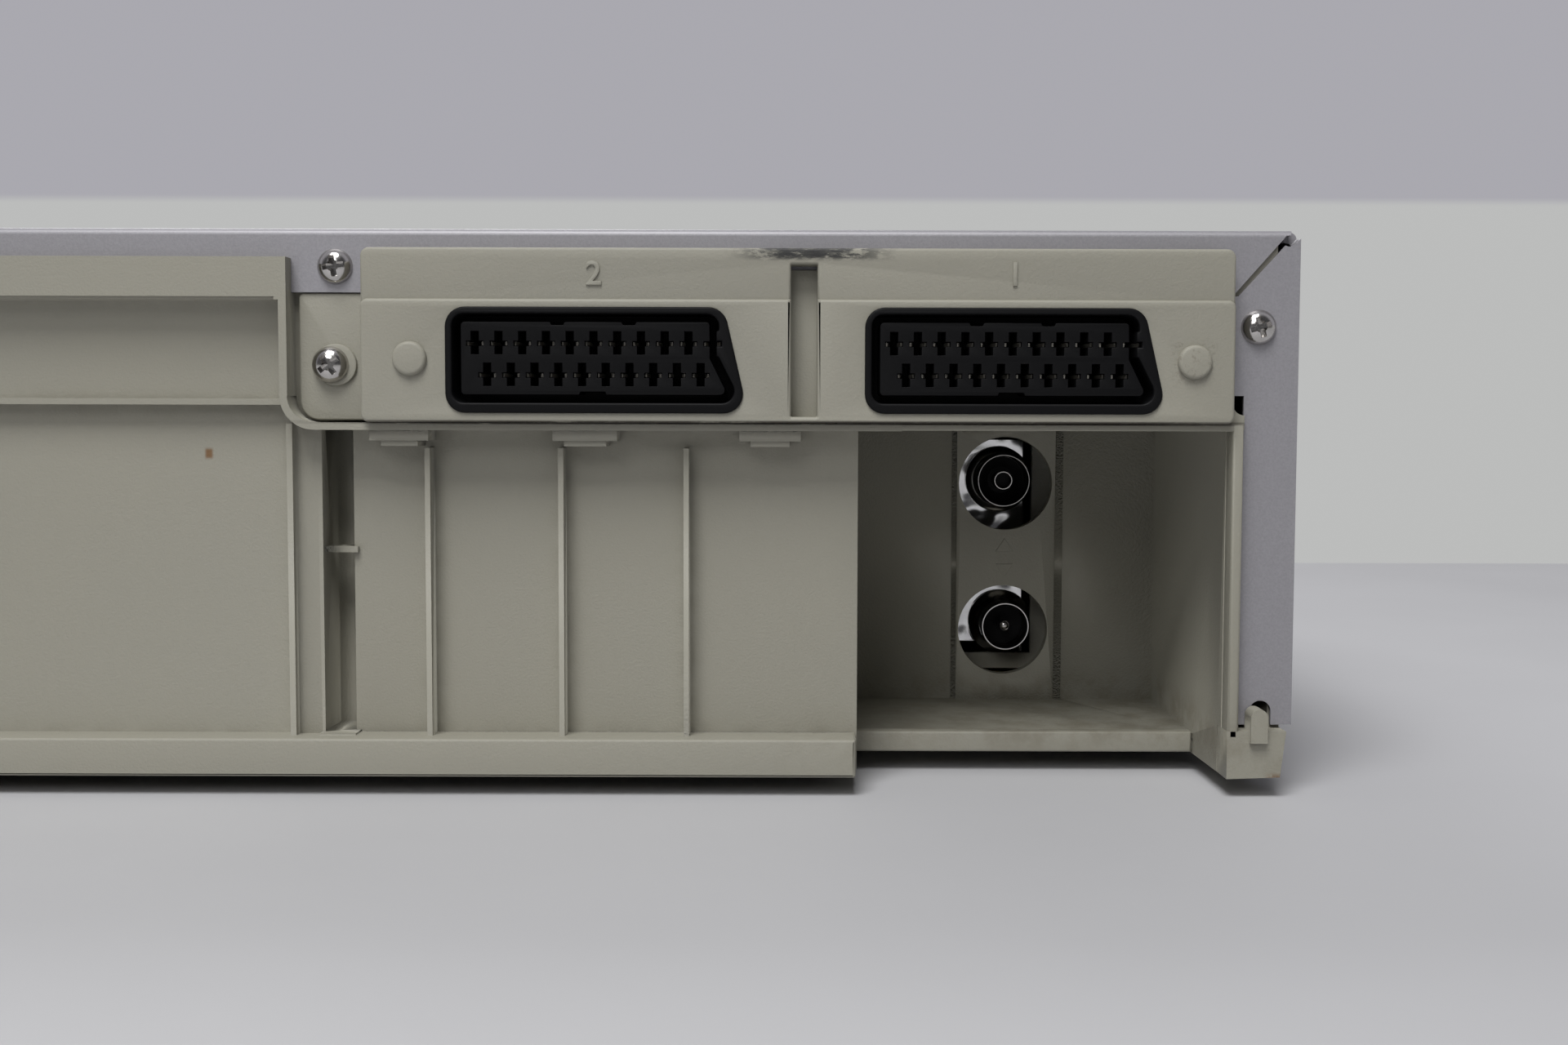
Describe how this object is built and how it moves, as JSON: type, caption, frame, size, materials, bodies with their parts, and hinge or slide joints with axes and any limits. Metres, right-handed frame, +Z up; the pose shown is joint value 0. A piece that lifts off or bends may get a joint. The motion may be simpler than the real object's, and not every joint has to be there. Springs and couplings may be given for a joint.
{
  "type": "video cassette recorder",
  "caption": "Front-loading video cassette recorder with a moulded rear frame, multi-pin sockets, an aerial bay, and its tape deck inside.",
  "frame": {"origin": "on the surface it stands on, under the middle of its box", "axes": "+X across the machine, to the right as its front is faced; +Y towards its rear; +Z up"},
  "size_m": [0.38, 0.284, 0.0927],
  "materials": {
    "cover_paint": "satin paint",
    "frame_plastic": "fine grain",
    "zinc_steel": "zinc plated",
    "foot_rubber": "matt",
    "socket_plastic": "satin",
    "nickel": "nickel plate",
    "board": "resin board",
    "tinplate": "bright tinplate",
    "coil_copper": "enamelled wire",
    "coil_tape": "tape",
    "capacitor_sleeve": "gloss",
    "black_aluminium": "black anodised",
    "panel_plastic": "silver paint",
    "window_smoke": "gloss",
    "drum_aluminium": "turned",
    "bearing_brass": "plain",
    "ground_steel": "ground",
    "gear_plastic": "acetal",
    "button_plastic": "silver paint",
    "record_red": "satin"
  },
  "bodies": {
    "chassis": {"top_cover": "cover_paint", "main_frame": "frame_plastic", "bottom_plate": "zinc_steel", "feet": "foot_rubber", "av_terminal_cover": "frame_plastic", "av_socket_1": "socket_plastic", "av_socket_2": "socket_plastic", "av_contacts": "nickel", "av_board": "board", "tuner_can": "tinplate", "aerial_socket": "nickel", "rf_out_plug": "nickel", "screws": "nickel", "capstan_stator": "coil_copper", "main_board": "board", "power_board": "board", "mains_inlet": "socket_plastic", "transformer": "coil_tape", "capacitors": "capacitor_sleeve", "heat_sink": "black_aluminium", "front_panel": "panel_plastic", "display_window": "window_smoke", "display_tube": "window_smoke", "front_board": "board", "av_input_jacks": "nickel", "deck_plate": "zinc_steel", "lower_drum": "drum_aluminium", "capstan_bearing": "bearing_brass", "erase_head": "nickel", "audio_control_head": "nickel", "deck_shafts": "ground_steel", "guide_bracket_left": "zinc_steel", "guide_bracket_right": "zinc_steel", "top_bracket": "zinc_steel", "loading_motor": "zinc_steel"},
    "cassette_door": {"cassette_door": "panel_plastic"},
    "power_button": {"power_button": "button_plastic"},
    "eject_button": {"eject_button": "button_plastic"},
    "play_button": {"play_button": "button_plastic"},
    "stop_button": {"stop_button": "button_plastic"},
    "rewind_button": {"rewind_button": "button_plastic"},
    "forward_button": {"forward_button": "button_plastic"},
    "record_button": {"record_button": "record_red"},
    "channel_up_button": {"channel_up_button": "button_plastic"},
    "channel_down_button": {"channel_down_button": "button_plastic"},
    "upper_drum": {"upper_drum": "drum_aluminium"},
    "capstan": {"capstan": "ground_steel"},
    "supply_reel": {"supply_reel": "gear_plastic"},
    "takeup_reel": {"takeup_reel": "gear_plastic"},
    "pinch_arm": {"pinch_arm": "zinc_steel"},
    "pinch_roller": {"pinch_roller": "foot_rubber"},
    "supply_guide": {"supply_guide": "ground_steel"},
    "takeup_guide": {"takeup_guide": "ground_steel"},
    "tension_arm": {"tension_arm": "zinc_steel"},
    "carrier_racks": {"carrier_racks": "gear_plastic"},
    "cassette_carrier": {"cassette_carrier": "zinc_steel"},
    "loading_gear": {"loading_gear": "gear_plastic"},
    "loading_worm": {"loading_worm": "gear_plastic"},
    "sync_shaft": {"sync_shaft": "ground_steel"},
    "idler_arm": {"idler_arm": "gear_plastic"}
  },
  "joints": [
    {"name": "door_hinge", "type": "hinge", "parent": "chassis", "child": "cassette_door", "pos_m": [0, -0.1371, 0.0832], "axis": [1, 0, 0], "range_deg": [0, 88], "stiffness_Nm_per_rad": 0.004, "springref_deg": -17.19},
    {"name": "power_press", "type": "slide", "parent": "chassis", "child": "power_button", "axis": [0, 1, 0], "range_m": [0, 0.001], "stiffness_N_per_m": 900, "springref_m": -0.0005},
    {"name": "eject_press", "type": "slide", "parent": "chassis", "child": "eject_button", "axis": [0, 1, 0], "range_m": [0, 0.001], "stiffness_N_per_m": 900, "springref_m": -0.0005},
    {"name": "play_press", "type": "slide", "parent": "chassis", "child": "play_button", "axis": [0, 1, 0], "range_m": [0, 0.001], "stiffness_N_per_m": 900, "springref_m": -0.0005},
    {"name": "stop_press", "type": "slide", "parent": "chassis", "child": "stop_button", "axis": [0, 1, 0], "range_m": [0, 0.001], "stiffness_N_per_m": 900, "springref_m": -0.0005},
    {"name": "rewind_press", "type": "slide", "parent": "chassis", "child": "rewind_button", "axis": [0, 1, 0], "range_m": [0, 0.001], "stiffness_N_per_m": 900, "springref_m": -0.0005},
    {"name": "forward_press", "type": "slide", "parent": "chassis", "child": "forward_button", "axis": [0, 1, 0], "range_m": [0, 0.001], "stiffness_N_per_m": 900, "springref_m": -0.0005},
    {"name": "record_press", "type": "slide", "parent": "chassis", "child": "record_button", "axis": [0, 1, 0], "range_m": [0, 0.001], "stiffness_N_per_m": 900, "springref_m": -0.0005},
    {"name": "channel_up_press", "type": "slide", "parent": "chassis", "child": "channel_up_button", "axis": [0, 1, 0], "range_m": [0, 0.001], "stiffness_N_per_m": 900, "springref_m": -0.0005},
    {"name": "channel_down_press", "type": "slide", "parent": "chassis", "child": "channel_down_button", "axis": [0, 1, 0], "range_m": [0, 0.001], "stiffness_N_per_m": 900, "springref_m": -0.0005},
    {"name": "drum_spin", "type": "hinge", "parent": "chassis", "child": "upper_drum", "pos_m": [-0.008, 0.038, 0.0252], "axis": [0, -0.1045, 0.9945], "continuous": true},
    {"name": "capstan_spin", "type": "hinge", "parent": "chassis", "child": "capstan", "pos_m": [0.066, 0.004, 0.02], "axis": [0, 0, 1], "continuous": true},
    {"name": "supply_reel_spin", "type": "hinge", "parent": "chassis", "child": "supply_reel", "pos_m": [-0.046, -0.061, 0.03], "axis": [0, 0, 1], "continuous": true},
    {"name": "takeup_reel_spin", "type": "hinge", "parent": "chassis", "child": "takeup_reel", "pos_m": [0.046, -0.061, 0.03], "axis": [0, 0, 1], "continuous": true},
    {"name": "pinch_swing", "type": "hinge", "parent": "chassis", "child": "pinch_arm", "pos_m": [0.094, 0.022, 0.04], "axis": [0, 0, 1], "range_deg": [0, 26]},
    {"name": "pinch_roller_spin", "type": "hinge", "parent": "pinch_arm", "child": "pinch_roller", "pos_m": [0.06932, 0.02375, 0.04], "axis": [0, 0, 1], "continuous": true},
    {"name": "loading_gear_turn", "type": "hinge", "parent": "chassis", "child": "loading_gear", "pos_m": [0.084, 0.054, 0.035], "axis": [0, 0, 1], "range_deg": [0, 160]},
    {"name": "takeup_guide_run", "type": "hinge", "parent": "chassis", "child": "takeup_guide", "pos_m": [-0.02969, 0.02736, 0.03], "axis": [0, 0, 1], "range_deg": [0, 63.3]},
    {"name": "supply_guide_run", "type": "hinge", "parent": "chassis", "child": "supply_guide", "pos_m": [0.01369, 0.02736, 0.03], "axis": [0, 0, 1], "range_deg": [-63.3, 0]},
    {"name": "loading_worm_turn", "type": "hinge", "parent": "chassis", "child": "loading_worm", "pos_m": [0.084, 0.0708, 0.0357], "axis": [1, 0, 0], "range_deg": [0, 4480]},
    {"name": "tension_swing", "type": "hinge", "parent": "chassis", "child": "tension_arm", "pos_m": [-0.088, 0.008, 0.03], "axis": [0, 0, 1], "range_deg": [0, 12], "stiffness_Nm_per_rad": 0.02, "springref_deg": -11.46},
    {"name": "idler_swing", "type": "hinge", "parent": "chassis", "child": "idler_arm", "pos_m": [0, -0.098, 0.028], "axis": [0, 0, 1], "range_deg": [-22, 22]},
    {"name": "carrier_run", "type": "slide", "parent": "chassis", "child": "carrier_racks", "axis": [0, 1, 0], "range_m": [-0.062, 0]},
    {"name": "carrier_drop", "type": "slide", "parent": "carrier_racks", "child": "cassette_carrier", "axis": [0, 0, -1], "range_m": [0, 0.022]},
    {"name": "sync_shaft_turn", "type": "hinge", "parent": "chassis", "child": "sync_shaft", "pos_m": [0, -0.051, 0.0845], "axis": [1, 0, 0], "range_deg": [-800, 800]}
  ],
  "couplings": [
    {"joint": "takeup_guide_run", "follows": "loading_gear_turn", "ratio": 0.3954},
    {"joint": "supply_guide_run", "follows": "loading_gear_turn", "ratio": -0.3954},
    {"joint": "loading_worm_turn", "follows": "loading_gear_turn", "ratio": 28},
    {"joint": "sync_shaft_turn", "follows": "carrier_run", "rad_per_m": 222.22}
  ]
}
